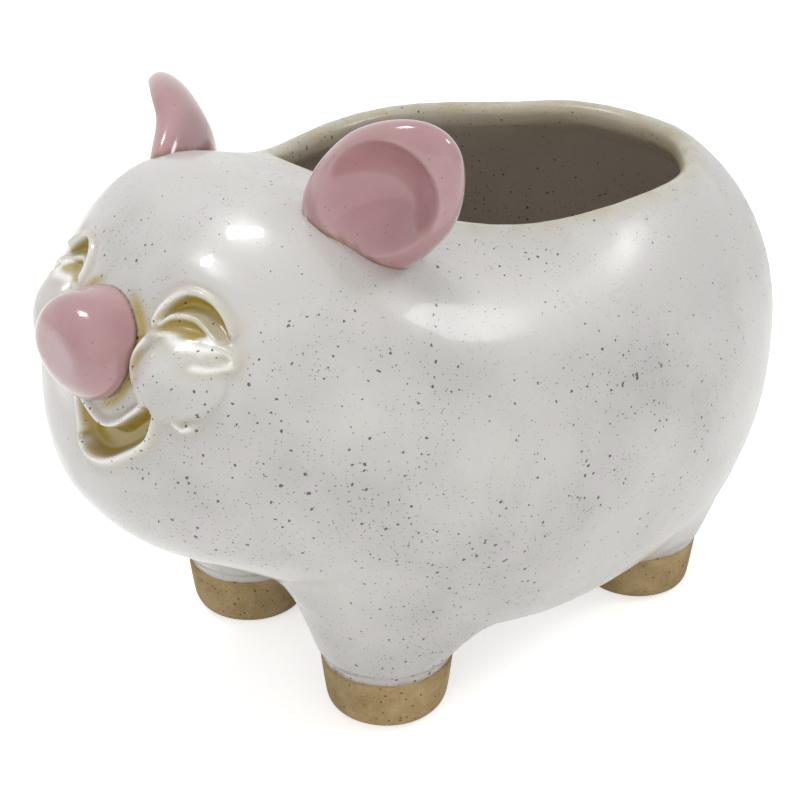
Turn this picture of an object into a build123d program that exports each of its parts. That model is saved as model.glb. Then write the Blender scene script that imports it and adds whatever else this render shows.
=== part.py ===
from build123d import *
import os
from math import cos, pi, radians, sin, sqrt

os.makedirs("parts", exist_ok=True)

# Driving dimensions of the hollow form, in millimetres
form_length = 205.0
form_centre = 0.0
form_width = 147.0
form_height = 144.0
front_fullness = 2.2
rear_fullness = 2.15
rib_fullness = 2.25
wall = 7.0

# Ribs of the form, muzzle to rump: place along the length from -1 to 1, then the heights
# of the back line and the belly line as shares of the form height
RIBS = (
    (-0.9995, 0.537, 0.491),
    (-0.98, 0.660, 0.448),
    (-0.93, 0.740, 0.400),
    (-0.87, 0.805, 0.365),
    (-0.76, 0.890, 0.322),
    (-0.60, 0.952, 0.252),
    (-0.42, 0.932, 0.168),
    (-0.20, 0.922, 0.080),
    (0.00, 0.962, 0.044),
    (0.20, 0.990, 0.040),
    (0.42, 0.972, 0.054),
    (0.60, 0.924, 0.092),
    (0.75, 0.872, 0.160),
    (0.87, 0.766, 0.254),
    (0.95, 0.674, 0.351),
    (0.985, 0.604, 0.430),
    (0.998, 0.545, 0.490),
)
RIB_POINTS = 16

# Planting mouth in the back
mouth_width = 95.0
mouth_length = 109.0
mouth_centre = 17.0
rim_round = 3.0
throat_round = 1.5

# Legs and bare clay feet
leg_radius = 16.4
leg_flare = 40.0
flare_top = 39.5
leg_top = 48.0
foot_height = 13.0
foot_radius = 16.2
sole_radius = 14.6
sole_round = 4.0
front_leg_x = 30.5
front_leg_y = -38.5
rear_leg_x = 28.5
rear_leg_y = 54.0

# Seam between the head and the pot
seam_y = -43.5
seam_height = 130.0
seam_tilt = 15.5

# Snout button
snout_width = 31.0
snout_height = 24.0
snout_z = 103.5
snout_front = -106.0
snout_round = 8.0

# Face ridges and pockets, as places across and up the face
ridge_radius = 1.7
pocket_depth = 3.0
UPPER_LIP = ((21.5, 95.5), (15.5, 91.0), (8.5, 88.5), (0.0, 91.5))
LOWER_LIP = ((21.5, 95.5), (19.5, 88.5), (12.0, 82.0), (0.0, 79.5))
UPPER_LID = ((16.0, 110.5), (18.5, 117.5), (26.0, 118.0), (33.0, 112.0))
LOWER_LID = ((16.0, 110.5), (23.0, 111.0), (30.0, 109.5), (36.5, 106.5))
cheek_x = 29.0
cheek_z = 100.5
cheek_radius = 9.0
cheek_sink = 5.2

# Ears, thick petals with a dished face, each set by hand: middle, way to the tip, way it faces
ear_length = 50.0
ear_width = 30.0
ear_thickness = 16.0
dish_length = 43.0
dish_width = 23.5
dish_depth = 20.0
dish_offset = 9.0
EAR_POSES = {
    "left": ((45.0, -49.9, 139.2), (0.746, 0.027, 0.665), (0.340, -0.874, -0.346)),
    "right": ((-40.3, -45.9, 129.6), (-0.853, 0.255, 0.455), (-0.414, -0.861, -0.294)),
}

# Curled tail on the rump
tail_z = 92.0
tail_curl = 7.0
tail_radius = 2.8
tail_turn = 250.0

SIDES = {"left": 1, "right": -1}
LEGS = {
    "front_left": (front_leg_x, front_leg_y),
    "front_right": (-front_leg_x, front_leg_y),
    "rear_left": (rear_leg_x, rear_leg_y),
    "rear_right": (-rear_leg_x, rear_leg_y),
}


def shell_ribs(inset):
    """Ribs of the form drawn in by an inset: place, half width, half height, middle height."""
    half_length = form_length / 2 - inset
    half_width = form_width / 2 - inset
    thin = 1 - 2 * inset / form_height
    for place, top, belly in RIBS:
        fullness = front_fullness if place < 0 else rear_fullness
        yield (
            form_centre + place * half_length,
            half_width * (1 - abs(place) ** fullness) ** (1 / fullness),
            thin * form_height * (top - belly) / 2,
            form_height * (top + belly) / 2,
        )


def rib_points(half_width, half_height, middle):
    """Points round one rib, a superellipse a little fuller than an ellipse."""
    for step in range(RIB_POINTS):
        turn = 2 * pi * step / RIB_POINTS - pi / 2
        across, up = cos(turn), sin(turn)
        size = (abs(across) ** rib_fullness + abs(up) ** rib_fullness) ** (-1 / rib_fullness)
        yield (half_width * size * across, middle + half_height * size * up)


def form(inset):
    """The egg-like form, drawn in by an inset, as a solid."""
    with BuildPart() as solid:
        for y, half_width, half_height, middle in shell_ribs(inset):
            with BuildSketch(Plane.XZ.offset(-y)):
                with BuildLine():
                    Spline(*rib_points(half_width, half_height, middle), periodic=True)
                make_face()
        loft()
    return solid.part


outer = form(0)
hollow = form(wall)
pocket_floor = form(pocket_depth)


def seat(x, z, towards=1):
    """Point and outward normal where a line along the length first meets the form."""
    line = Axis((x, -towards * form_length, z), (0, towards, 0))
    hits = [hit for face in outer.faces() for hit in face.find_intersection_points(line)]
    return min(hits, key=lambda hit: towards * hit[0].Y)


def mirrored(places, side):
    """Face places carried to one side of the head."""
    return [(side * x, z) for x, z in places]


seam = Plane(
    origin=(0, seam_y, seam_height),
    x_dir=(1, 0, 0),
    z_dir=(0, -cos(radians(seam_tilt)), sin(radians(seam_tilt))),
)

leg_rise = flare_top - foot_height
flare_reach = leg_radius + leg_flare - sqrt(leg_flare**2 - leg_rise**2)

with BuildPart() as pot_body:
    add(outer)
    for x, y in LEGS.values():
        with BuildSketch(Plane((x, y, 0), x_dir=(1, 0, 0), z_dir=(0, -1, 0))):
            with BuildLine():
                edge = Line((0, foot_height), (leg_radius, foot_height))
                flare = RadiusArc(edge @ 1, (flare_reach, flare_top), leg_flare)
                Polyline(flare @ 1, (flare_reach, leg_top), (0, leg_top), (0, foot_height))
            make_face()
        revolve(axis=Axis((x, y, 0), (0, 0, 1)))
    with BuildSketch():
        with Locations(*LEGS.values()):
            Circle(leg_radius)
    extrude(amount=foot_height, mode=Mode.SUBTRACT)
    split(bisect_by=seam, keep=Keep.BOTTOM)
    add(hollow, mode=Mode.SUBTRACT)
    with BuildSketch(Plane.XY.offset(form_height / 2)):
        with Locations((0, mouth_centre)):
            Ellipse(mouth_width / 2, mouth_length / 2)
    extrude(amount=form_height, mode=Mode.SUBTRACT)
    for end, rounding in ((-1, rim_round), (0, throat_round)):
        throat = pot_body.part.faces().filter_by(GeomType.EXTRUSION)
        edges = throat.edges().filter_by(GeomType.LINE, reverse=True).sort_by(Axis.Z)
        fillet(edges[end], radius=rounding)
pot_body.part.label = "pot_body"
export_step(pot_body.part, "parts/pot_body.step")

for place, (x, y) in LEGS.items():
    with BuildPart() as foot:
        with BuildSketch(Plane((x, y, 0), x_dir=(1, 0, 0), z_dir=(0, -1, 0))):
            with BuildLine():
                Polyline((0, foot_height), (foot_radius, foot_height), (sole_radius, 0), (0, 0), close=True)
            make_face()
        revolve(axis=Axis((x, y, 0), (0, 0, 1)))
        fillet(foot.part.edges().group_by(Axis.Z)[0], radius=sole_round)
    foot.part.label = f"foot_{place}"
    export_step(foot.part, f"parts/foot_{place}.step")

lip_upper = [*UPPER_LIP, *mirrored(UPPER_LIP[-2::-1], -1)]
lip_lower = [*LOWER_LIP, *mirrored(LOWER_LIP[-2::-1], -1)]
POCKETS = [(lip_upper, lip_lower)]
for side in SIDES.values():
    POCKETS.append((mirrored(UPPER_LID, side), mirrored([*LOWER_LID[:-1], UPPER_LID[-1]], side)))

with BuildPart() as pockets:
    for above, below in POCKETS:
        with BuildSketch(Plane.XZ.offset(-form_centre)):
            with BuildLine():
                Spline(*above)
                Spline(*below)
            make_face()
        extrude(amount=form_length)
    add(pocket_floor, mode=Mode.SUBTRACT)

with BuildPart() as head:
    add(outer)
    split(bisect_by=seam, keep=Keep.TOP)
    add(hollow, mode=Mode.SUBTRACT)
    add(pockets.part, mode=Mode.SUBTRACT)
head.part.label = "head"
export_step(head.part, "parts/head.step")


for hand, side in SIDES.items():
    point, normal = seat(side * cheek_x, cheek_z)
    with BuildPart() as cheek:
        with Locations(Plane(point - normal * cheek_sink, z_dir=normal)):
            Sphere(cheek_radius)
        add(outer, mode=Mode.SUBTRACT)
    cheek.part.label = f"cheek_{hand}"
    export_step(cheek.part, f"parts/cheek_{hand}.step")


def coil(runs):
    """A luted coil of clay along the runs of face places, seated on the form."""
    with BuildPart() as ridge:
        for places in runs:
            with BuildLine() as path:
                Spline(*[seat(x, z)[0] for x, z in places])
            with BuildSketch(Plane(path.line @ 0, z_dir=path.line % 0)):
                Circle(ridge_radius)
            sweep()
            with Locations(path.line @ 0, path.line @ 1):
                Sphere(ridge_radius)
        add(outer, mode=Mode.SUBTRACT)
    return ridge.part


def export_pair(piece, name):
    """Writes a piece of the left side and its mirror image for the right side."""
    with BuildPart() as twin:
        mirror(piece, about=Plane.YZ)
    for hand, half in (("left", piece), ("right", twin.part)):
        half.label = f"{name}_{hand}"
        export_step(half, f"parts/{half.label}.step")


lips = coil([lip_upper, lip_lower])
lips.label = "lips"
export_step(lips, "parts/lips.step")

export_pair(coil([UPPER_LID, LOWER_LID]), "eyelids")

with BuildPart() as snout:
    with BuildSketch(Plane.XZ.offset(-snout_front)):
        with Locations((0, snout_z)):
            Ellipse(snout_width / 2, snout_height / 2)
    extrude(amount=-form_length / 4)
    fillet(snout.part.edges().group_by(Axis.Y)[0], radius=snout_round)
    add(outer, mode=Mode.SUBTRACT)
    add(lips, mode=Mode.SUBTRACT)
snout.part.label = "snout"
export_step(snout.part, "parts/snout.step")

with BuildPart() as petal:
    Sphere(1)
    scale(by=(ear_length / 2, ear_width / 2, ear_thickness / 2))
with BuildPart() as dish:
    Sphere(1)
    scale(by=(dish_length / 2, dish_width / 2, dish_depth / 2))
for hand, (middle, lean, facing) in EAR_POSES.items():
    ear_plane = Plane(middle, x_dir=lean, z_dir=facing)
    with BuildPart() as ear:
        add(ear_plane.location * petal.part)
        add(ear_plane.offset(dish_offset).location * dish.part, mode=Mode.SUBTRACT)
        add(outer, mode=Mode.SUBTRACT)
    ear.part.label = f"ear_{hand}"
    export_step(ear.part, f"parts/ear_{hand}.step")

point, normal = seat(0, tail_z, -1)
rump = Plane(point + normal * tail_radius / 2, x_dir=(1, 0, 0), z_dir=normal)
with BuildPart() as tail:
    with Locations(rump):
        Torus(tail_curl, tail_radius, major_angle=tail_turn)
    add(outer, mode=Mode.SUBTRACT)
tail.part.label = "tail"
export_step(tail.part, "parts/tail.step")
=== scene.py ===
"""Looks of the pig shaped planter: speckled glaze, pink ears and snout, bare clay feet.

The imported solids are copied, joined and refined into continuous glazed skins. The face is
drawn on the skin with curves given as places across and up the face, in millimetres.
"""

import logging
import math
from dataclasses import dataclass, field
from enum import Enum
from functools import partial

import bpy
import numpy as np
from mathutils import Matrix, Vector
from mathutils.bvhtree import BVHTree


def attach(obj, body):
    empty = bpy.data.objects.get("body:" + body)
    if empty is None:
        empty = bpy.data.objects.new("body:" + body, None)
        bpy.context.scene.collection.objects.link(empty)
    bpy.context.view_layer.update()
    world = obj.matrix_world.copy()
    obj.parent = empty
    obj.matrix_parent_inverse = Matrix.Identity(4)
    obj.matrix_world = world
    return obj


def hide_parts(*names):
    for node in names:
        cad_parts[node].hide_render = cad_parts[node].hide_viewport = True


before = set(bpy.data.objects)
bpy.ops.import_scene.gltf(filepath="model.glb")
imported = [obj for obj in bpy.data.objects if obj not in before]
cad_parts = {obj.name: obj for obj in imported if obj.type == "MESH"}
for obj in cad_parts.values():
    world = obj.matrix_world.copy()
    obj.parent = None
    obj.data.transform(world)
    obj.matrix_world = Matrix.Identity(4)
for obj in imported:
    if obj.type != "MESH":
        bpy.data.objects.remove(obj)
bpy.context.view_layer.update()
logging.basicConfig(level=logging.INFO, format="%(message)s")
log = logging.getLogger("planter")

MM = 0.001
Place = tuple[float, float]
Spot = tuple[float, float, float]

# Sockets of a colour Mix node: the two colours going in and the one coming out
MIX_UNDER, MIX_OVER, MIX_OUT = 6, 7, 2

# Levels that the weights of a vertex group are rounded to
GROUP_LEVELS = 12

# Points for each stretch of a face line and of a pocket's outline
LINE_STEPS, OUTLINE_STEPS = 24, 16


class Attr(Enum):
    """Vertex masks that the finishes read."""

    POOL = "pool"
    BREAK = "break"
    RIM = "rim"
    INNER_SHADE = "inner_shade"


def linear(code: str) -> tuple[float, float, float, float]:
    """Turns an sRGB hex colour into linear RGBA.

    Args:
        code: six hex digits, with or without a leading hash.

    Returns:
        The linear colour with full alpha.
    """
    digits = code.lstrip("#")
    channels = []
    for start in (0, 2, 4):
        value = int(digits[start : start + 2], 16) / 255
        channels.append(value / 12.92 if value <= 0.04045 else ((value + 0.055) / 1.055) ** 2.4)
    return (*channels, 1.0)


def add_node(
    tree: bpy.types.NodeTree, kind: str, inputs: dict | None = None, **settings: object
) -> bpy.types.Node:
    """Adds a shader node, sets its properties and fills or links its inputs.

    Args:
        tree: the node tree.
        kind: the node's type name without the ShaderNode prefix.
        inputs: socket name or index to a value or to an output socket.
        **settings: node properties to set first.

    Returns:
        The new node.
    """
    made = tree.nodes.new(f"ShaderNode{kind}")
    for key, value in settings.items():
        setattr(made, key, value)
    for key, value in (inputs or {}).items():
        socket = made.inputs[key]
        if isinstance(value, bpy.types.NodeSocket):
            tree.links.new(value, socket)
        else:
            socket.default_value = value
    return made


def new_material(name: str) -> bpy.types.Material:
    """Starts a material with an empty node tree.

    Args:
        name: name of the finish.

    Returns:
        The material.
    """
    material = bpy.data.materials.new(name)
    material.use_nodes = True
    material.node_tree.nodes.clear()
    return material


def select_only(*objects: bpy.types.Object) -> None:
    """Selects the given objects alone and makes the first one active.

    Args:
        *objects: the objects.
    """
    bpy.ops.object.select_all(action="DESELECT")
    for item in objects:
        item.select_set(True)
    bpy.context.view_layer.objects.active = objects[0]


def merged_copy(name: str, nodes: list[str]) -> bpy.types.Object:
    """Copies CAD nodes and joins the copies into one object at the origin.

    Args:
        name: name of the joined object.
        nodes: CAD node names.

    Returns:
        The joined object.
    """
    copies = []
    for node in nodes:
        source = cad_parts[node]
        copy = source.copy()
        copy.data = source.data.copy()
        copy.parent = None
        copy.matrix_world.identity()
        bpy.context.scene.collection.objects.link(copy)
        copies.append(copy)
    select_only(*copies)
    if len(copies) > 1:
        bpy.ops.object.join()
    made = bpy.context.view_layer.objects.active
    made.name = name
    made.data.name = name
    made.data.materials.clear()
    return made


def remesh(piece: bpy.types.Object, voxel: float) -> None:
    """Fuses a piece into one even skin by a voxel remesh.

    Args:
        piece: the object.
        voxel: voxel size in millimetres.
    """
    select_only(piece)
    piece.data.remesh_voxel_size = voxel * MM
    piece.data.remesh_voxel_adaptivity = 0
    bpy.ops.object.voxel_remesh()


def apply_modifier(piece: bpy.types.Object, kind: str, **settings: object) -> None:
    """Adds a modifier to a piece, sets it and applies it.

    Args:
        piece: the object.
        kind: type of the modifier.
        **settings: its properties.
    """
    select_only(piece)
    bpy.ops.object.modifier_add(type=kind)
    modifier = piece.modifiers[-1]
    for key, value in settings.items():
        setattr(modifier, key, value)
    bpy.ops.object.modifier_apply(modifier=modifier.name)


def smooth(piece: bpy.types.Object, rounds: int, group: str = "") -> None:
    """Softens a piece, or one vertex group of it, by a number of passes."""
    apply_modifier(piece, "SMOOTH", factor=0.5, iterations=rounds, vertex_group=group)


def rows(items: bpy.types.bpy_prop_collection, key: str, width: int, kind: type) -> np.ndarray:
    """Reads one property of all vertices or edges of a mesh.

    Args:
        items: the vertices, their normals or the edges.
        key: name of the property.
        width: numbers in each.
        kind: type of the numbers.

    Returns:
        The numbers, one row for each item.
    """
    flat = np.empty(len(items) * width, kind)
    items.foreach_get(key, flat)
    return flat.reshape(-1, width)


def coords(piece: bpy.types.Object) -> np.ndarray:
    """Vertex positions of a piece in millimetres, one row each."""
    return rows(piece.data.vertices, "co", 3, np.float32).astype(np.float64) / MM


def normals(piece: bpy.types.Object) -> np.ndarray:
    """Vertex normals of a piece, one row each."""
    return rows(piece.data.vertex_normals, "vector", 3, np.float32).astype(np.float64)


def edge_ends(piece: bpy.types.Object) -> np.ndarray:
    """Vertex pairs of a piece's edges, one row each."""
    return rows(piece.data.edges, "vertices", 2, np.int32)


def set_coords(piece: bpy.types.Object, places: np.ndarray) -> None:
    """Writes vertex positions given in millimetres back to a piece."""
    piece.data.vertices.foreach_set("co", (places * MM).astype(np.float32).ravel())
    piece.data.update()


def spread(values: np.ndarray, ends: np.ndarray, rounds: int) -> np.ndarray:
    """Averages vertex values with their neighbours' a number of times.

    Args:
        values: one row or number per vertex.
        ends: vertex pairs of the edges.
        rounds: number of passes.

    Returns:
        The averaged values.
    """
    count = np.bincount(ends.ravel(), minlength=len(values)).astype(float)
    shape = (-1,) + (1,) * (values.ndim - 1)
    for _ in range(rounds):
        total = np.zeros_like(values)
        np.add.at(total, ends[:, 0], values[ends[:, 1]])
        np.add.at(total, ends[:, 1], values[ends[:, 0]])
        values = 0.5 * values + 0.5 * total / count.reshape(shape)
    return values


def set_mask(piece: bpy.types.Object, attr: Attr, values: np.ndarray) -> None:
    """Stores a vertex mask on a piece, its values clipped to the range from 0 to 1."""
    mask = piece.data.attributes.new(attr.value, "FLOAT", "POINT")
    mask.data.foreach_set("value", np.clip(values, 0, 1).astype(np.float32))


def set_group(piece: bpy.types.Object, name: str, weights: np.ndarray) -> None:
    """Stores a vertex group, its weights rounded to a few levels.

    Args:
        piece: the object.
        name: group name.
        weights: one weight from 0 to 1 per vertex.
    """
    group = piece.vertex_groups.new(name=name)
    steps = np.rint(np.clip(weights, 0, 1) * GROUP_LEVELS).astype(int)
    for step in range(1, GROUP_LEVELS + 1):
        members = np.nonzero(steps == step)[0].tolist()
        if members:
            group.add(members, step / GROUP_LEVELS, "REPLACE")


def ramp(values: np.ndarray, low: float, high: float) -> np.ndarray:
    """Smooth step of values, from 0 at low to 1 at high."""
    share = np.clip((values - low) / (high - low), 0, 1)
    return share * share * (3 - 2 * share)


def bell(values: np.ndarray, middle: float, width: float) -> np.ndarray:
    """Bell curve of values, 1 at its middle and about a third one width from there."""
    return np.exp(-(((values - middle) / width) ** 2))


def curve_points(places: list[Place], count: int) -> np.ndarray:
    """Points along a smooth curve through a few places.

    Args:
        places: the places that the curve passes through.
        count: points for each stretch.

    Returns:
        The points, one row each.
    """
    p = np.array(places, float)
    p = np.vstack([2 * p[0] - p[1], p, 2 * p[-1] - p[-2]])
    t = np.linspace(0, 1, count, endpoint=False)[:, None]
    runs = []
    for a, b, c, d in zip(p, p[1:], p[2:], p[3:]):
        square = 2 * a - 5 * b + 4 * c - d
        cube = 3 * b - a - 3 * c + d
        runs.append(0.5 * (2 * b + (c - a) * t + square * t**2 + cube * t**3))
    return np.vstack([*runs, p[-2:-1]])


def curve_reach(points: np.ndarray, curve: np.ndarray) -> tuple[np.ndarray, np.ndarray]:
    """Distance of points from a curve, and how far along it the nearest place is.

    Args:
        points: places across and up, one row each.
        curve: points along the curve.

    Returns:
        The distances and the shares along the curve.
    """
    best = np.full(len(points), np.inf)
    along = np.zeros(len(points))
    for index, spot in enumerate(curve):
        gap = ((points - spot) ** 2).sum(1)
        nearer = gap < best
        best[nearer] = gap[nearer]
        along[nearer] = index / (len(curve) - 1)
    return np.sqrt(best), along


def inside(points: np.ndarray, outline: np.ndarray) -> np.ndarray:
    """Tells which points lie inside a closed outline.

    Args:
        points: places across and up, one row each.
        outline: points round the outline.

    Returns:
        True for each point inside.
    """
    found = np.zeros(len(points), bool)
    for a, b in zip(outline, np.roll(outline, -1, axis=0)):
        crosses = (a[1] > points[:, 1]) != (b[1] > points[:, 1])
        rise = b[1] - a[1] if b[1] != a[1] else 1e-12
        edge = (b[0] - a[0]) * (points[:, 1] - a[1]) / rise + a[0]
        found ^= crosses & (points[:, 0] < edge)
    return found


def facing_away(points: np.ndarray, out: np.ndarray, middle: Spot) -> np.ndarray:
    """How far walls at points face away from a middle, below 0 where they face it."""
    return ((points - np.array(middle)) * out).sum(1)


def glaze_flow(
    piece: bpy.types.Object, reach: int, strength: float
) -> tuple[np.ndarray, np.ndarray]:
    """Finds where a fluid glaze pools and where it breaks thin, from the bend of the surface.

    Args:
        piece: the object.
        reach: number of neighbour passes, which sets the breadth.
        strength: how fast the masks rise with the bend.

    Returns:
        The pool and break masks.
    """
    points, ends = coords(piece), edge_ends(piece)
    bend = ((points - spread(points, ends, reach)) * normals(piece)).sum(1)
    bend = spread(bend, ends, 3)
    return np.clip(-bend * strength, 0, 1), np.clip(bend * strength, 0, 1)


def give_finish(piece: bpy.types.Object, material: bpy.types.Material) -> None:
    """Gives a piece its finish and shades it smooth.

    Args:
        piece: the object.
        material: the finish.
    """
    piece.data.materials.append(material)
    select_only(piece)
    bpy.ops.object.shade_smooth()


@dataclass(frozen=True)
class SpeckledGlaze:
    """Glossy off-white stoneware glaze with iron speckles, honey coloured where it pools.

    Sizes are in millimetres.

    Attributes:
        body: main colour.
        cool: cooler mottling.
        warm: warmer mottling.
        bare: colour of the thin glaze on edges.
        inside_shade_colour: painted shade inside the pot, a darker colour on the walls that face
            its middle.
        worn: colour of the clay that shows through on the rim.
        honey: colour of the pooled glaze.
        iron: speckle colour.
        cloud: size of the broad mottling.
        drift: size of the finer mottling.
        streak: size of the wear on the rim.
        ripple: size of the glaze's ripples.
        ragged: size of the bites in the edges of large speckles.
        coarse: cell and largest radius of the large speckles.
        fine: cell and largest radius of the small speckles.
        coat: clear gloss on the head and on the flank.
        coat_band: where the gloss fades from the head to the flank, along the pot.
    """

    body: str = "CCCAC5"
    cool: str = "BBB9B5"
    warm: str = "CDC4C9"
    bare: str = "F5F3EF"
    inside_shade_colour: str = "B8AEA2"
    worn: str = "B5AA8C"
    honey: str = "A38B2E"
    iron: str = "33261B"
    cloud: float = 36.0
    drift: float = 14.0
    streak: float = 6.0
    ripple: float = 5.0
    ragged: float = 0.7
    coarse: Place = (1.75, 0.42)
    fine: Place = (0.75, 0.22)
    coat: Place = (0.35, 0.05)
    coat_band: Place = (-62.0, -30.0)

    def speckle(
        self,
        tree: bpy.types.NodeTree,
        place: bpy.types.NodeSocket,
        sizes: Place,
        crowd: bpy.types.NodeSocket,
    ) -> bpy.types.NodeSocket:
        """Draws one layer of round speckles of random size.

        Args:
            tree: the node tree.
            place: coordinates that the layer is drawn on.
            sizes: cell and largest radius in millimetres.
            crowd: how large the speckles are from place to place.

        Returns:
            The layer, 1 on speckles.
        """
        cell, largest = sizes
        node = partial(add_node, tree)
        cells = node(
            "TexVoronoi",
            {"Vector": place, "Scale": 1 / (cell * MM), "Randomness": 1.0}, feature="F1",
        )
        chance = node("SeparateColor", {0: cells.outputs["Color"]})
        radius = node("Math", {0: chance.outputs[0], 1: 1.5}, operation="POWER")
        for factor in (crowd, largest / cell):
            radius = node("Math", {0: radius.outputs[0], 1: factor}, operation="MULTIPLY")
        gap = node(
            "Math", {0: radius.outputs[0], 1: cells.outputs["Distance"]}, operation="SUBTRACT"
        )
        soft = node(
            "MapRange",
            {"Value": gap.outputs[0], "From Min": -0.02, "From Max": 0.03},
            interpolation_type="SMOOTHSTEP",
        )
        return soft.outputs["Result"]

    def make(self) -> bpy.types.Material:
        """Builds the material.

        Returns:
            The material.
        """
        # A fired stoneware glaze over iron bearing clay: a hard milky glass, mottled where it
        # ran thick or thin, dotted where iron melted through, brown where it is worn off the
        # rim and honey coloured where it pooled. Inside the pot the colour is darkened as painted
        # shade. Clear gloss on the head, silkier on the flank.
        material = new_material("speckled_stoneware_glaze")
        tree = material.node_tree
        node = partial(add_node, tree)
        place = node("TexCoord").outputs["Object"]
        pool, broken, rim, inner_shade = (
            node("Attribute", attribute_name=attr.value).outputs["Fac"] for attr in Attr
        )
        cloud, drift, streak, ripple, wander = (
            node(
                "TexNoise",
                {"Vector": place, "Scale": 1 / (size * MM), "Detail": detail, "Roughness": rough},
            )
            for size, detail, rough in (
                (self.cloud, 3.0, 0.55), (self.drift, 4.0, 0.6), (self.streak, 3.0, 0.5),
                (self.ripple, 2.0, 0.5), (self.ragged, 1.0, 0.5),
            )
        )
        cloud, drift = cloud.outputs["Fac"], drift.outputs["Fac"]
        cool = node("MapRange", {"Value": cloud, "From Min": 0.42, "From Max": 0.66})
        warm = node("MapRange", {"Value": drift, "From Min": 0.48, "From Max": 0.72, "To Max": 0.5})
        worn = node(
            "MapRange",
            {"Value": streak.outputs["Fac"], "From Min": 0.35, "From Max": 0.65, "To Min": 0.35},
        )
        rim_wear = node("Math", {0: rim, 1: worn.outputs["Result"]}, operation="MULTIPLY")

        # Large speckles with ragged edges, small ones fainter, both crowding in places
        crowd = node(
            "MapRange",
            {"Value": cloud, "From Min": 0.3, "From Max": 0.7, "To Min": 0.45, "To Max": 1.35},
        ).outputs["Result"]
        bites = node(
            "VectorMath", {0: wander.outputs["Color"], "Scale": 0.7 * MM}, operation="SCALE"
        )
        bitten = node("VectorMath", {0: place, 1: bites.outputs[0]}, operation="ADD")
        coarse = self.speckle(tree, bitten.outputs[0], self.coarse, crowd)
        fine = self.speckle(tree, place, self.fine, crowd)
        faint = node("Math", {0: fine, 1: 0.6}, operation="MULTIPLY")
        specks = node("Math", {0: coarse, 1: faint.outputs[0]}, operation="MAXIMUM")
        dark = node("Math", {0: specks.outputs[0], 1: 0.86}, operation="MULTIPLY")

        colour = linear(self.body)
        for share, tint in (
            (cool.outputs["Result"], self.cool),
            (warm.outputs["Result"], self.warm),
            (broken, self.bare),
            # Painted shade: walls inside the pot that face its middle are darkened
            (inner_shade, self.inside_shade_colour),
            (rim_wear.outputs[0], self.worn),
            (pool, self.honey),
            (dark.outputs[0], self.iron),
        ):
            layer = {"Factor": share, MIX_UNDER: colour, MIX_OVER: linear(tint)}
            colour = node("Mix", layer, data_type="RGBA").outputs[MIX_OUT]

        height = node(
            "Math", {0: ripple.outputs["Fac"], 1: specks.outputs[0]}, operation="SUBTRACT"
        )
        bump = node("Bump", {"Strength": 0.12, "Distance": 0.4 * MM, "Height": height.outputs[0]})
        spot = node("SeparateXYZ", {0: place})
        coat = node(
            "MapRange",
            {
                "Value": spot.outputs["Y"],
                "From Min": self.coat_band[0] * MM,
                "From Max": self.coat_band[1] * MM,
                "To Min": self.coat[0],
                "To Max": self.coat[1],
            },
        )
        gloss = node(
            "MapRange",
            {"Value": drift, "From Min": 0.3, "From Max": 0.7, "To Min": 0.26, "To Max": 0.36},
        )
        shader = node(
            "BsdfPrincipled",
            {
                "Base Color": colour,
                "Roughness": gloss.outputs["Result"],
                "IOR": 1.52,
                "Normal": bump.outputs["Normal"],
                "Coat Weight": coat.outputs["Result"],
                "Coat Roughness": 0.05,
                "Coat IOR": 1.5,
            },
        )
        node("OutputMaterial", {"Surface": shader.outputs["BSDF"]})
        return material


@dataclass(frozen=True)
class PinkGlaze:
    """Glossy pink glaze, paler where it breaks over edges and deeper in hollows.

    Sizes are in millimetres.

    Attributes:
        body: main colour.
        pale: colour on edges.
        deep: colour in hollows.
        seam: colour of the line where the piece meets the skin.
        iron: speckle colour.
        cloud: size of the mottling.
        ripple: size of the glaze's ripples.
        speck: size of the cells with a speckle in each.
    """

    body: str = "AA7D81"
    pale: str = "C29E9C"
    deep: str = "AE767C"
    seam: str = "7A5B36"
    iron: str = "7C4A48"
    cloud: float = 11.0
    ripple: float = 5.0
    speck: float = 2.4

    def make(self) -> bpy.types.Material:
        """Builds the material.

        Returns:
            The material.
        """
        # A brushed pink glaze under a clear one: wet gloss, paler on edges where it ran thin,
        # with a few iron specks and a brown line where it meets the white glaze.
        material = new_material("pink_stoneware_glaze")
        tree = material.node_tree
        node = partial(add_node, tree)
        place = node("TexCoord").outputs["Object"]
        pool, broken, rim = (
            node("Attribute", attribute_name=attr.value).outputs["Fac"]
            for attr in (Attr.POOL, Attr.BREAK, Attr.RIM)
        )
        cloud = node("TexNoise", {"Vector": place, "Scale": 1 / (self.cloud * MM), "Detail": 3.0})
        ripple = node("TexNoise", {"Vector": place, "Scale": 1 / (self.ripple * MM), "Detail": 2.0})
        cells = node("TexVoronoi", {"Vector": place, "Scale": 1 / (self.speck * MM)})
        reach = cells.outputs["Distance"]
        mottle = node(
            "MapRange",
            {"Value": cloud.outputs["Fac"], "From Min": 0.35, "From Max": 0.7, "To Max": 0.35},
        )
        speck = node(
            "MapRange",
            {"Value": reach, "From Min": 0.05, "From Max": 0.12, "To Min": 0.55, "To Max": 0.0},
        )
        colour = linear(self.body)
        for share, tint in (
            (mottle.outputs["Result"], self.pale),
            (pool, self.deep),
            (broken, self.pale),
            (rim, self.seam),
            (speck.outputs["Result"], self.iron),
        ):
            layer = {"Factor": share, MIX_UNDER: colour, MIX_OVER: linear(tint)}
            colour = node("Mix", layer, data_type="RGBA").outputs[MIX_OUT]
        bump = node(
            "Bump", {"Strength": 0.1, "Distance": 0.4 * MM, "Height": ripple.outputs["Fac"]}
        )
        shader = node(
            "BsdfPrincipled",
            {
                "Base Color": colour,
                "Roughness": 0.18,
                "IOR": 1.52,
                "Normal": bump.outputs["Normal"],
                "Coat Weight": 0.5,
                "Coat Roughness": 0.04,
            },
        )
        node("OutputMaterial", {"Surface": shader.outputs["BSDF"]})
        return material


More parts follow.
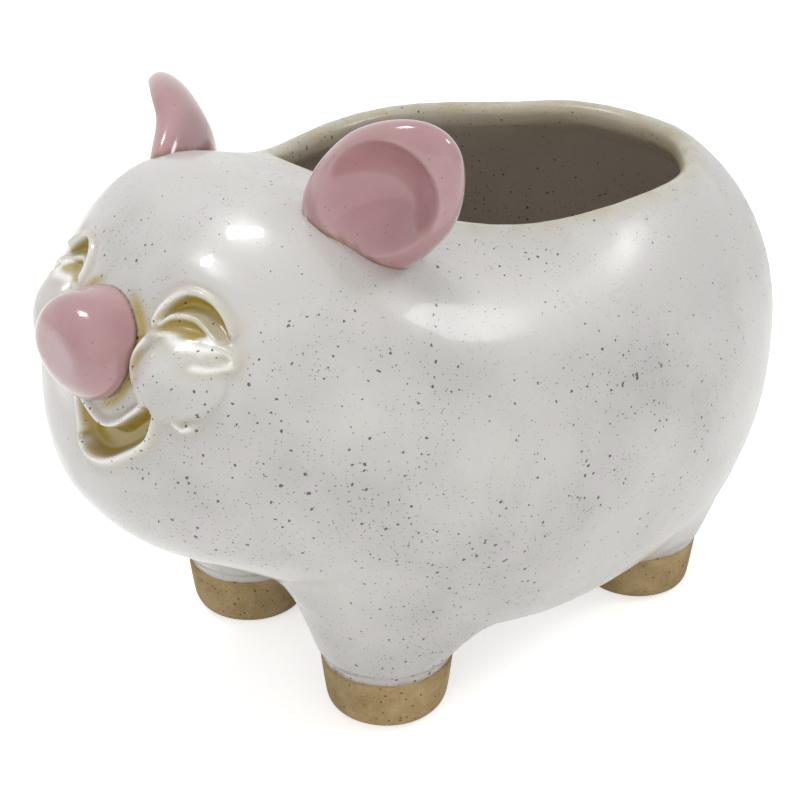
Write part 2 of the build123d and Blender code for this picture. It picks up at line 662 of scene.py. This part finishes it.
@dataclass(frozen=True)
class BareClay:
    """Unglazed buff stoneware with grog and dark specks.

    Sizes are in millimetres.

    Attributes:
        body: main colour.
        dark: colour of the darker patches.
        light: colour of the light grains.
        grog: speck colour.
        patch: size of the patches.
        grain: size of the grains.
        speck: size of the cells with a speck in each.
    """

    body: str = "B8A076"
    dark: str = "967E54"
    light: str = "D2B684"
    grog: str = "4A3520"
    patch: float = 8.0
    grain: float = 0.9
    speck: float = 2.0

    def make(self) -> bpy.types.Material:
        """Builds the material.

        Returns:
            The material.
        """
        # Fired clay wiped clean of glaze: dry, matt and sandy, with dark grog. Its grains are
        # a few tenths of a millimetre and are drawn coarser here, so that they show.
        material = new_material("bare_buff_stoneware")
        tree = material.node_tree
        node = partial(add_node, tree)
        place = node("TexCoord").outputs["Object"]
        patch = node(
            "TexNoise",
            {"Vector": place, "Scale": 1 / (self.patch * MM), "Detail": 5.0, "Roughness": 0.65},
        )
        grain = node(
            "TexNoise",
            {"Vector": place, "Scale": 1 / (self.grain * MM), "Detail": 3.0, "Roughness": 0.7},
        ).outputs["Fac"]
        cells = node("TexVoronoi", {"Vector": place, "Scale": 1 / (self.speck * MM)})
        reach = cells.outputs["Distance"]
        shade = node(
            "MapRange", {"Value": patch.outputs["Fac"], "From Min": 0.35, "From Max": 0.68}
        )
        fleck = node(
            "MapRange", {"Value": grain, "From Min": 0.4, "From Max": 0.75, "To Max": 0.35}
        )
        speck = node(
            "MapRange",
            {"Value": reach, "From Min": 0.10, "From Max": 0.20, "To Min": 0.85, "To Max": 0.0},
        )
        colour = linear(self.body)
        for share, tint in ((shade, self.dark), (fleck, self.light), (speck, self.grog)):
            layer = {"Factor": share.outputs["Result"], MIX_UNDER: colour, MIX_OVER: linear(tint)}
            colour = node("Mix", layer, data_type="RGBA").outputs[MIX_OUT]
        bump = node("Bump", {"Strength": 0.6, "Distance": 0.6 * MM, "Height": grain})
        shader = node(
            "BsdfPrincipled",
            {
                "Base Color": colour,
                "Roughness": 0.82,
                "IOR": 1.45,
                "Normal": bump.outputs["Normal"],
            },
        )
        node("OutputMaterial", {"Surface": shader.outputs["BSDF"]})
        return material


@dataclass(frozen=True)
class Line:
    """A raised line of the face.

    Attributes:
        places: places across and up the face that it runs through, in millimetres.
        height: height of the crest in millimetres.
        width: half width in millimetres.
        fade: share of the length over which each end fades out.
    """

    places: list[Place]
    height: float
    width: float
    fade: float = 0.08

    def relief(self, points: np.ndarray) -> np.ndarray:
        """Height of the line at places on the face.

        Args:
            points: places across and up the face, one row each.

        Returns:
            The heights in millimetres.
        """
        gap, along = curve_reach(points, curve_points(self.places, LINE_STEPS))
        ends = ramp(along, -0.02, self.fade) * ramp(1 - along, -0.02, self.fade)
        return self.height * bell(gap, 0, self.width) * ends


@dataclass(frozen=True)
class Pocket:
    """A sunk pocket of the face, in which the glaze pools.

    Attributes:
        outline: places across and up the face round it, in millimetres.
        depth: depth in millimetres.
        edge: half width of its sloping edge in millimetres.
    """

    outline: list[Place]
    depth: float
    edge: float = 1.4

    def cover(self, points: np.ndarray, soft: float, grow: float = 0.0) -> np.ndarray:
        """How far places lie inside the pocket.

        Args:
            points: places across and up the face, one row each.
            soft: half width of the edge in millimetres.
            grow: how much wider than its outline it is taken to be, in millimetres.

        Returns:
            The shares, from 0 outside to 1 well inside.
        """
        loop = curve_points([*self.outline, self.outline[0]], OUTLINE_STEPS)
        gap, _ = curve_reach(points, loop)
        return ramp(np.where(inside(points, loop), gap, -gap) + grow, -soft, soft)

    def relief(self, points: np.ndarray) -> np.ndarray:
        """Depth of the pocket at places on the face, in millimetres."""
        return self.depth * self.cover(points, self.edge)


# Raised lines of the laughing face, as places across and up its left half, in millimetres.
# The eyes are drawn on both halves. A fold closes the grin near the middle of the face.
UPPER_LID = Line(
    [(16.2, 110.6), (16.4, 115.4), (20.2, 118.8), (26.2, 118.4), (31.8, 115.8), (35.6, 112.8)],
    1.7, 1.15,
)
SECOND_LID = Line(
    [(16.6, 111.4), (18.6, 113.7), (23.7, 114.1), (29.4, 112.2), (33.4, 110.8)], 1.2, 0.85
)
LOWER_LID = Line(
    [
        (16.4, 110.2), (22.5, 110.9), (28.8, 110.5), (35.6, 110.0),
        (38.0, 108.3), (35.2, 107.2), (30.8, 107.9),
    ],
    1.3, 0.95,
)
CHEEK_FOLD = Line([(17.0, 110.2), (15.6, 106.2), (16.8, 102.2), (20.6, 98.8)], 1.5, 1.0)
DIMPLE = Line([(28.4, 95.6), (31.8, 93.9), (35.2, 95.8)], 1.2, 1.0, 0.25)
BROW = Line(
    [(5.0, 121.6), (15.5, 123.2), (24.8, 121.4), (31.6, 118.6), (36.2, 113.8)], 0.8, 2.6, 0.3
)
UPPER_LIP = Line(
    [(-1.5, 94.6), (3.0, 91.0), (8.5, 88.9), (13.4, 90.2), (18.9, 94.3), (22.6, 97.4)], 1.6, 1.1
)
LOWER_LIP = Line(
    [(-3.0, 81.6), (3.2, 79.2), (10.0, 80.2), (16.9, 84.0), (23.2, 89.1), (25.2, 96.6)], 1.6, 1.2
)
GRIN_FOLD = Line([(-1.5, 95.0), (-3.4, 90.0), (-3.6, 85.5), (-2.6, 81.6)], 0.9, 0.9)
EYE_LINES = [UPPER_LID, SECOND_LID, LOWER_LID, CHEEK_FOLD, DIMPLE]
GRIN_LINES = [UPPER_LIP, LOWER_LIP, GRIN_FOLD]

# Pockets between the lines: outline and depth in millimetres
EYE_POCKETS = [
    Pocket(
        [
            (17.0, 112.0), (17.3, 115.4), (20.6, 118.0), (26.0, 117.6), (31.0, 115.0),
            (34.0, 112.2), (29.6, 113.2), (24.0, 115.0), (19.0, 114.6),
        ],
        1.8,
    ),
    Pocket([(17.4, 111.2), (19.4, 112.9), (23.6, 113.2), (28.4, 111.6), (23.0, 111.3)], 1.0),
]
GRIN_POCKET = Pocket(
    [
        (-2.2, 90.0), (3.0, 88.6), (8.0, 87.2), (13.6, 88.5), (18.6, 92.4), (23.4, 96.0),
        (22.4, 90.0), (16.4, 85.2), (9.5, 81.4), (3.2, 80.4), (-2.0, 82.4),
    ],
    3.0,
)

# Middle and half size, across and up, of the eye and mouth pockets cut into the solid
CUT_POCKETS = [((26.0, 112.5), (14.5, 8.5)), ((0.0, 88.0), (26.0, 13.5))]

# Bands in millimetres over which a step sets in along the pot, towards the face
HEAD_BAND, PLAIN_BAND, DRAWN_BAND, GLAZE_BAND = (60, 66), (62, 70), (64, 70), (66, 76)

# Band of height of the rim in millimetres, and smoothing passes of the roots and pockets
RIM_BAND = (112, 124)
ROOT_PASSES, FLARED_PASSES, POCKET_PASSES = 40, 70, 300

# Middles of the legs across and along the pot, in millimetres
LEG_SPOTS = [(30.5, -38.5), (-30.5, -38.5), (28.5, 54.0), (-28.5, 54.0)]


@dataclass
class GlazedSkin:
    """The glazed body, head, face lines and tail as one continuous skin, in millimetres.

    Attributes:
        finish: the glaze.
        core: CAD nodes that the skin is fused from.
        drawn: CAD nodes whose coils are drawn on the skin again, softened by the glaze.
        voxel: voxel size.
        kept: share of faces that stays after the plain parts are thinned out.
        root_bands: heights at which the softening of the legs' roots sets in and fades out.
        flare_bands: heights at which the legs' flare sets in and fades out.
        flare: drop of the belly round a leg, its distance from the leg's middle and its breadth.
        leg_radius: distance from a leg's middle at which the flare begins.
        cheek: middle of the cheek ball across and up the face, its radius and its height.
        snout_ring: middle height and half size of the ring round the snout where glaze pools.
        mouth: middle of the planting mouth along the pot, and its half size.
        middle: middle of the hollow.
    """

    finish: SpeckledGlaze = field(default_factory=SpeckledGlaze)
    core: tuple[str, ...] = ("pot_body", "head", "tail")
    drawn: tuple[str, ...] = ("lips", "eyelids_left", "eyelids_right", "cheek_left", "cheek_right")
    voxel: float = 0.9
    kept: float = 0.315
    root_bands: tuple[Place, Place] = ((13.0, 17.0), (42.0, 62.0))
    flare_bands: tuple[Place, Place] = ((14.5, 22.0), (34.0, 52.0))
    flare: Spot = (6.5, 17.8, 5.2)
    leg_radius: float = 16.2
    cheek: tuple[float, float, float, float] = (26.2, 103.0, 9.4, 4.2)
    snout_ring: Spot = (103.5, 15.5, 12.0)
    mouth: Spot = (17.0, 47.5, 54.5)
    middle: Spot = (0.0, 10.0, 75.0)
    piece: bpy.types.Object | None = None

    def build(self) -> bpy.types.Object:
        """Fuses the clay, fills the cut pockets, softens the legs' roots and draws the face.

        Returns:
            The skin.
        """
        self.piece = merged_copy("glazed_skin", list(self.core))
        remesh(self.piece, self.voxel)
        points, out = coords(self.piece), normals(self.piece)
        low, high = self.root_bands
        behind = 1 - ramp(-points[:, 1], *HEAD_BAND)
        roots = behind * ramp(points[:, 2], *low) * (1 - ramp(points[:, 2], *high))
        set_group(self.piece, "roots", roots)
        set_group(self.piece, "pockets", self.pocket_reach(points, out))
        smooth(self.piece, ROOT_PASSES, "roots")
        self.flare_legs()
        smooth(self.piece, FLARED_PASSES, "roots")
        smooth(self.piece, POCKET_PASSES, "pockets")
        smooth(self.piece, 4)
        self.refine_face()
        self.draw_face()
        set_group(self.piece, "plain", 1 - ramp(-coords(self.piece)[:, 1], *PLAIN_BAND))
        apply_modifier(self.piece, "DECIMATE", ratio=self.kept, vertex_group="plain")
        smooth(self.piece, 1)
        return self.piece

    def flare_legs(self) -> None:
        """Draws the belly down towards the legs, so that each leg flares out of it."""
        points, out = coords(self.piece), normals(self.piece)
        low, high = self.flare_bands
        band = ramp(points[:, 2], *low) * (1 - ramp(points[:, 2], *high))
        depth, place, breadth = self.flare
        drop = np.zeros(len(points))
        for leg_x, leg_y in LEG_SPOTS:
            away = np.hypot(points[:, 0] - leg_x, points[:, 1] - leg_y)
            skirt = depth * bell(away, place, breadth) * ramp(away, self.leg_radius, place)
            drop = np.maximum(drop, skirt * band)
        outside = facing_away(points, out, (0.0, 0.0, self.middle[2])) > 0
        points[:, 2] -= np.where(outside, drop, 0)
        set_coords(self.piece, points)

    def pocket_reach(self, points: np.ndarray, out: np.ndarray) -> np.ndarray:
        """Marks the region in which the pockets cut into the solid are filled again.

        Args:
            points: vertex places in millimetres.
            out: vertex normals.

        Returns:
            One weight per vertex.
        """
        front = (points[:, 1] < -72) & (out[:, 1] < 0.6)
        weights = np.zeros(len(points))
        across, up = points[front, 0], points[front, 2]
        for middle, half in CUT_POCKETS:
            for side in (1, -1):
                away = np.hypot((across - side * middle[0]) / half[0], (up - middle[1]) / half[1])
                weights[front] = np.maximum(weights[front], 1 - ramp(away, 0.95, 1.1))
        return weights

    def refine_face(self) -> None:
        """Splits the face's quads so that fine lines hold."""
        points, out = coords(self.piece), normals(self.piece)
        front = (points[:, 1] < -68) & (out[:, 1] < 0.25)
        chosen = front & (points[:, 2] > 74) & (points[:, 2] < 128)
        select_only(self.piece)
        bpy.ops.object.mode_set(mode="EDIT")
        bpy.ops.mesh.select_mode(type="VERT")
        bpy.ops.mesh.select_all(action="DESELECT")
        bpy.ops.object.mode_set(mode="OBJECT")
        self.piece.data.vertices.foreach_set("select", chosen)
        bpy.ops.object.mode_set(mode="EDIT")
        bpy.ops.mesh.subdivide(number_cuts=1, smoothness=0.0)
        bpy.ops.object.mode_set(mode="OBJECT")
        smooth(self.piece, 2)

    @staticmethod
    def face_places(points: np.ndarray) -> tuple[np.ndarray, np.ndarray]:
        """Places across and up, as they are for the grin and folded together for the eyes."""
        grin = points[:, [0, 2]]
        return grin, np.column_stack([np.abs(grin[:, 0]), grin[:, 1]])

    def draw_face(self) -> None:
        """Raises the laughing lines and cheeks and sinks the pockets between them."""
        points, out = coords(self.piece), normals(self.piece)
        front = ramp(-points[:, 1], *DRAWN_BAND) * ramp(-out[:, 1], 0.0, 0.2)
        chosen = front > 0
        grin, eyes = self.face_places(points[chosen])
        raised = [line.relief(eyes) for line in (BROW, *EYE_LINES)]
        raised = np.max(raised + [line.relief(grin) for line in GRIN_LINES], axis=0)
        sunk = [pocket.relief(eyes) for pocket in EYE_POCKETS]
        sunk = np.max(sunk + [GRIN_POCKET.relief(grin)], axis=0)
        x, z, radius, height = self.cheek
        outer = np.where(eyes[:, 0] > x, 1.25, 1.0)
        away = np.hypot((eyes[:, 0] - x) / outer, (eyes[:, 1] - z) * 1.05) / radius
        ball = height * np.clip(1 - away**2, 0, 1) ** 0.8
        lift = np.zeros(len(points))
        lift[chosen] = np.maximum(raised, ball) + 0.3 * np.minimum(raised, ball) - sunk
        set_coords(self.piece, points + out * (lift * front)[:, None])

    def face_masks(self, points: np.ndarray, out: np.ndarray) -> tuple[np.ndarray, np.ndarray]:
        """Finds where the honey glaze lies and where the lines break white.

        Args:
            points: vertex places in millimetres.
            out: vertex normals.

        Returns:
            The honey and white masks.
        """
        front = (points[:, 1] < -66) & (out[:, 1] < 0.35)
        grin, eyes = self.face_places(points[front])
        deep = [pocket.cover(eyes, 0.7, 0.4) for pocket in EYE_POCKETS]
        deep = np.max(deep + [GRIN_POCKET.cover(grin, 0.7, 0.9)], axis=0)
        rises = [line.relief(eyes) / line.height for line in EYE_LINES]
        rise = np.max(rises + [line.relief(grin) / line.height for line in GRIN_LINES], axis=0)
        crest, shade = rise**2, np.clip(rise, 0, 1) ** 0.25
        height, half_width, half_height = self.snout_ring
        ring = np.hypot(eyes[:, 0] / half_width, (eyes[:, 1] - height) / half_height)
        beside = bell(ring, 1.05, 0.10) * ramp(eyes[:, 0], 3, 10)
        honey, white = np.zeros(len(points)), np.zeros(len(points))
        honey[front] = np.max([deep, 0.9 * beside, 0.3 * shade], axis=0) * (1 - 0.95 * crest)
        white[front] = crest
        return honey, white

    def dress(self) -> None:
        """Marks pooled, thin and worn glaze, paints shade inside the pot and gives the finish."""
        points, out = coords(self.piece), normals(self.piece)
        pool, broken = glaze_flow(self.piece, 14, 1.6)
        face = ramp(-points[:, 1], *GLAZE_BAND)
        honey, white = self.face_masks(points, out)
        set_mask(self.piece, Attr.POOL, np.maximum(honey, face * pool * 0.65 * (1 - white)))
        set_mask(self.piece, Attr.BREAK, np.maximum(white, face * broken * 0.5))
        along, half_width, half_length = self.mouth
        reach = np.hypot(points[:, 0] / half_width, (points[:, 1] - along) / half_length)
        rim = bell(reach, 1.03, 0.07) * ramp(points[:, 2], *RIM_BAND)
        set_mask(self.piece, Attr.RIM, rim)
        # Painted shade: walls inside the pot that face its middle get a darker colour
        inward = -facing_away(points, out, self.middle)
        set_mask(self.piece, Attr.INNER_SHADE, ramp(inward, 2, 12) * (points[:, 2] > 12))
        give_finish(self.piece, self.finish.make())
        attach(self.piece, "root")
        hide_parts(*self.core, *self.drawn)


@dataclass
class PinkPiece:
    """A pink glazed piece, fused and softened from its solid.

    Attributes:
        node: CAD node that it stands for.
        finish: the glaze material, shared.
        skin: the glazed skin that it sits on.
        voxel: voxel size in millimetres.
        rounds: smoothing passes.
    """

    node: str
    finish: bpy.types.Material
    skin: bpy.types.Object
    voxel: float = 0.55
    rounds: int = 14
    piece: bpy.types.Object | None = None

    def build(self) -> bpy.types.Object:
        """Rounds the solid's edges as wet clay would be.

        Returns:
            The piece.
        """
        self.piece = merged_copy(f"{self.node}_glazed", [self.node])
        remesh(self.piece, self.voxel)
        smooth(self.piece, self.rounds)
        return self.piece

    def dress(self) -> None:
        """Marks pooled and thin glaze and the brown line at the root, and gives the finish."""
        pool, broken = glaze_flow(self.piece, 40, 0.55)
        tree = BVHTree.FromObject(self.skin, bpy.context.evaluated_depsgraph_get())
        gaps = [tree.find_nearest(vertex.co)[3] for vertex in self.piece.data.vertices]
        set_mask(self.piece, Attr.POOL, pool)
        set_mask(self.piece, Attr.BREAK, broken * 0.8)
        set_mask(self.piece, Attr.RIM, 0.8 * (1 - ramp(np.array(gaps) / MM, 0.3, 1.3)))
        give_finish(self.piece, self.finish)
        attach(self.piece, "root")
        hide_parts(self.node)


@dataclass
class PetalEar(PinkPiece):
    """A pink ear: a thick petal whose dished face has a soft rim all round.

    Sizes are in millimetres.

    Attributes:
        middle: middle of the petal.
        lean: way from the root to the tip.
        facing: way that the dish faces.
        half: half length, half width and half thickness.
        dish: half length and half width of the dish.
        shift: how far the dish sits towards the tip and across.
        depth: depth of the dish under the petal's middle plane.
        steep: rise of the dish from its bottom to its edge.
        rim: how soft the dish's edge is.
        taper: how much the petal narrows to its tip, as a share.
        flare: how much the petal widens to its root, as a share.
        curl: how far the root curls the way that the dish faces.
    """

    rounds: int = 6
    middle: Spot = (0.0, 0.0, 0.0)
    lean: Spot = (1.0, 0.0, 0.0)
    facing: Spot = (0.0, 0.0, 1.0)
    half: Spot = (25.0, 15.0, 8.0)
    dish: Place = (20.0, 12.0)
    shift: Place = (4.0, 0.0)
    depth: float = 3.0
    steep: float = 7.6
    rim: float = 0.7
    taper: float = 0.10
    flare: float = 0.3
    curl: float = 9.0

    def build(self) -> bpy.types.Object:
        """Shapes a ball into the petal and sets it in its pose.

        Returns:
            The ear.
        """
        bpy.ops.object.select_all(action="DESELECT")
        bpy.ops.mesh.primitive_uv_sphere_add(segments=128, ring_count=72, radius=1.0)
        self.piece = bpy.context.view_layer.objects.active
        self.piece.name = self.piece.data.name = f"{self.node}_glazed"
        ball = coords(self.piece) * MM
        along, side, front = (ball[:, axis] * size for axis, size in zip((2, 1, 0), self.half))
        root = ramp(-along / self.half[0], -0.1, 1.0)
        tip_end = ramp(along / self.half[0], 0.2, 1.0)
        side = side * (1 + self.flare * root - self.taper * tip_end)
        reach = np.hypot(
            (along - self.shift[0]) / self.dish[0], (side - self.shift[1]) / self.dish[1]
        )
        bowl = self.steep * reach**2 - self.depth
        dished = -self.rim * np.logaddexp(-front / self.rim, -bowl / self.rim)
        front = np.where(ball[:, 0] > 0, np.maximum(dished, -self.depth), front)
        front = front + self.curl * root
        tip = Vector(self.lean).normalized()
        face = (Vector(self.facing) - tip * tip.dot(Vector(self.facing))).normalized()
        axes = np.array([tip, face.cross(tip), face])
        set_coords(self.piece, np.array(self.middle) + np.column_stack([along, side, front]) @ axes)
        select_only(self.piece)
        bpy.ops.object.mode_set(mode="EDIT")
        bpy.ops.mesh.select_all(action="SELECT")
        bpy.ops.mesh.normals_make_consistent(inside=False)
        bpy.ops.object.mode_set(mode="OBJECT")
        smooth(self.piece, self.rounds)
        return self.piece


@dataclass
class ClayFoot:
    """A bare clay foot pad.

    Sizes are in millimetres.

    Attributes:
        node: CAD node that it stands for.
        finish: the clay material, shared.
        voxel: voxel size.
        sole_rounds: smoothing passes that round the edge of the sole.
        taller: scale of the pad upwards, so that it laps over the leg's end.
        wider: scale of the pad across.
        dents: depth of the broad and of the small dents round it.
    """

    node: str
    finish: bpy.types.Material
    voxel: float = 0.6
    sole_rounds: int = 45
    taller: float = 1.13
    wider: float = 1.035
    dents: Place = (0.18, 0.12)
    piece: bpy.types.Object | None = None

    def build(self) -> bpy.types.Object:
        """Fuses the pad, rounds its sole and leaves it slightly uneven, as pressed clay.

        Returns:
            The pad.
        """
        self.piece = merged_copy(f"{self.node}_clay", [self.node])
        remesh(self.piece, self.voxel)
        smooth(self.piece, 4)
        set_group(self.piece, "sole", 1 - ramp(coords(self.piece)[:, 2], 5, 9))
        smooth(self.piece, self.sole_rounds, "sole")
        points, out = coords(self.piece), normals(self.piece)
        points[:, 2] *= self.taller
        for axis in (0, 1):
            middle = (points[:, axis].max() + points[:, axis].min()) / 2
            points[:, axis] = middle + (points[:, axis] - middle) * self.wider
        phase = points[:, 0].mean()
        turn = np.arctan2(points[:, 1] - points[:, 1].mean(), points[:, 0] - phase)
        broad, small = self.dents
        dent = broad * np.sin(3 * turn + phase) + small * np.sin(5 * turn - phase)
        side = ramp(points[:, 2], 1.5, 5) * (1 - np.abs(out[:, 2]))
        set_coords(self.piece, points + out * (dent * side)[:, None])
        return self.piece

    def dress(self) -> None:
        """Gives the finish."""
        give_finish(self.piece, self.finish)
        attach(self.piece, "root")
        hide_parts(self.node)


@dataclass(frozen=True)
class SoftBox:
    """A rectangular soft box that faces the pot.

    Attributes:
        name: name of the light.
        way: direction from the pot towards the light.
        reach: distance in metres.
        size: width and height in metres.
        power: power in watts.
        mirrored: whether the glaze mirrors it.
    """

    name: str
    way: Spot
    reach: float
    size: Place
    power: float
    mirrored: bool = True

    def hang(self, aim: Vector) -> None:
        """Hangs the soft box.

        Args:
            aim: point that it faces.
        """
        bpy.ops.object.light_add(type="AREA")
        lamp = bpy.context.view_layer.objects.active
        lamp.name = self.name
        lamp.data.shape = "RECTANGLE"
        lamp.data.size, lamp.data.size_y = self.size
        lamp.data.energy = self.power
        lamp.visible_glossy = self.mirrored
        heading = Vector(self.way).normalized()
        lamp.location = aim + heading * self.reach
        lamp.rotation_mode = "QUATERNION"
        lamp.rotation_quaternion = heading.to_track_quat("Z", "Y")


# Two small boxes give the glints on the head and the flank, three broad ones fill the shade
SOFT_BOXES = [
    SoftBox("key_box", (-0.38, -0.30, 0.88), 0.9, (0.09, 0.22), 2.0),
    SoftBox("flank_box", (0.51, 0.57, 0.64), 1.1, (0.30, 0.20), 2.1),
    SoftBox("top_fill", (-0.10, -0.10, 1.0), 1.3, (1.2, 1.2), 5.9, False),
    SoftBox("front_fill", (0.35, -1.0, 0.45), 1.2, (0.9, 0.7), 3.3, False),
    SoftBox("low_fill", (0.95, -0.15, 0.12), 1.2, (0.9, 0.5), 3.9, False),
]


@dataclass
class Studio:
    """White sweep, soft boxes and the camera at the photograph's view.

    Attributes:
        azimuth: camera azimuth in degrees.
        elevation: camera elevation in degrees.
        distance: camera distance from its aim in metres.
        aim: point that the camera looks at.
        lens: focal length in millimetres.
        sensor: sensor width in millimetres.
        card: colour of the floor.
        glow: how much lighter the floor is where it is seen, so that it is white but for shadow.
        sky: colour of the surround.
        sky_strength: strength of the surround's light.
    """

    azimuth: float = 51.1
    elevation: float = 25.3
    distance: float = 0.420
    aim: Vector = field(default_factory=lambda: Vector((0, -0.0095, 0.064)))
    lens: float = 72.0
    sensor: float = 36.0
    card: str = "F2F1EF"
    glow: float = 0.62
    sky: str = "E8ECEF"
    sky_strength: float = 0.30

    def seen(self, tree: bpy.types.NodeTree) -> bpy.types.NodeSocket:
        """Tells rays from the camera, from a mirror and through glass from rays of light.

        Args:
            tree: the node tree.

        Returns:
            A socket that is 1 for those rays.
        """
        rays = add_node(tree, "LightPath").outputs
        shown = rays["Is Camera Ray"]
        for kind in ("Is Glossy Ray", "Is Transmission Ray"):
            larger = add_node(tree, "Math", {0: shown, 1: rays[kind]}, operation="MAXIMUM")
            shown = larger.outputs[0]
        return shown

    def sweep(self) -> None:
        """Lays a wide floor that the camera sees as white, with the pot's shadow on it."""
        bpy.ops.mesh.primitive_plane_add(size=6)
        floor = bpy.context.view_layer.objects.active
        floor.name = "studio_floor"
        # Matt white card, lifted to white where it is seen
        material = new_material("white_sweep")
        tree = material.node_tree
        node = partial(add_node, tree)
        card = node("BsdfDiffuse", {"Color": linear(self.card)})
        lift = node("Math", {0: self.seen(tree), 1: self.glow}, operation="MULTIPLY")
        glow = node("Emission", {"Color": (1, 1, 1, 1), "Strength": lift.outputs[0]})
        shown = node("AddShader", {0: card.outputs[0], 1: glow.outputs[0]})
        node("OutputMaterial", {"Surface": shown.outputs[0]})
        floor.data.materials.append(material)

    def surround(self) -> None:
        """Gives a pale surround that the camera sees as plain white."""
        world = bpy.data.worlds.new("studio")
        bpy.context.scene.world = world
        world.use_nodes = True
        tree = world.node_tree
        tree.nodes.clear()
        node = partial(add_node, tree)
        pale = node("Background", {"Color": linear(self.sky), "Strength": self.sky_strength})
        white = node("Background", {"Color": (1, 1, 1, 1), "Strength": 1.0})
        shown = node("MixShader", {0: self.seen(tree), 1: pale.outputs[0], 2: white.outputs[0]})
        node("OutputWorld", {"Surface": shown.outputs[0]})

    def camera(self) -> None:
        """Sets the camera and the plain view transform."""
        turn, rise = math.radians(self.azimuth), math.radians(self.elevation)
        level = math.cos(rise)
        back = Vector((math.sin(turn) * level, -math.cos(turn) * level, math.sin(rise)))
        bpy.ops.object.camera_add()
        shot = bpy.context.view_layer.objects.active
        shot.name = "photo_camera"
        shot.location = self.aim + back * self.distance
        shot.rotation_mode = "QUATERNION"
        shot.rotation_quaternion = back.to_track_quat("Z", "Y")
        shot.data.lens = self.lens
        shot.data.sensor_width = self.sensor
        shot.data.clip_start = 0.01
        scene = bpy.context.scene
        scene.camera = shot
        scene.view_settings.view_transform = "Standard"

    def build(self) -> None:
        """Sets up the whole studio."""
        self.sweep()
        self.surround()
        for box in SOFT_BOXES:
            box.hang(self.aim)
        self.camera()


def main() -> None:
    """Builds every piece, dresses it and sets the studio."""
    pink = PinkGlaze().make()
    clay = BareClay().make()
    skin = GlazedSkin()
    skin.build()
    skin.dress()
    log.info("%s: %d vertices", skin.piece.name, len(skin.piece.data.vertices))
    left_ear = PetalEar(
        "ear_left", pink, skin.piece,
        middle=(45.0, -49.9, 139.2), lean=(0.746, 0.027, 0.665), facing=(0.340, -0.874, -0.346),
        dish=(14.8, 12.2), shift=(5.0, 1.7), flare=0.08, curl=1.5,
    )
    right_ear = PetalEar(
        "ear_right", pink, skin.piece,
        middle=(-40.3, -45.9, 129.6), lean=(-0.853, 0.255, 0.455), facing=(-0.414, -0.861, -0.294),
        shift=(3.5, -1.0),
    )
    corners = ("front_left", "front_right", "rear_left", "rear_right")
    feet = [ClayFoot(f"foot_{corner}", clay) for corner in corners]
    for part in (left_ear, right_ear, PinkPiece("snout", pink, skin.piece), *feet):
        piece = part.build()
        part.dress()
        log.info("%s: %d vertices", piece.name, len(piece.data.vertices))
    Studio().build()


if __name__ == "__main__":
    main()
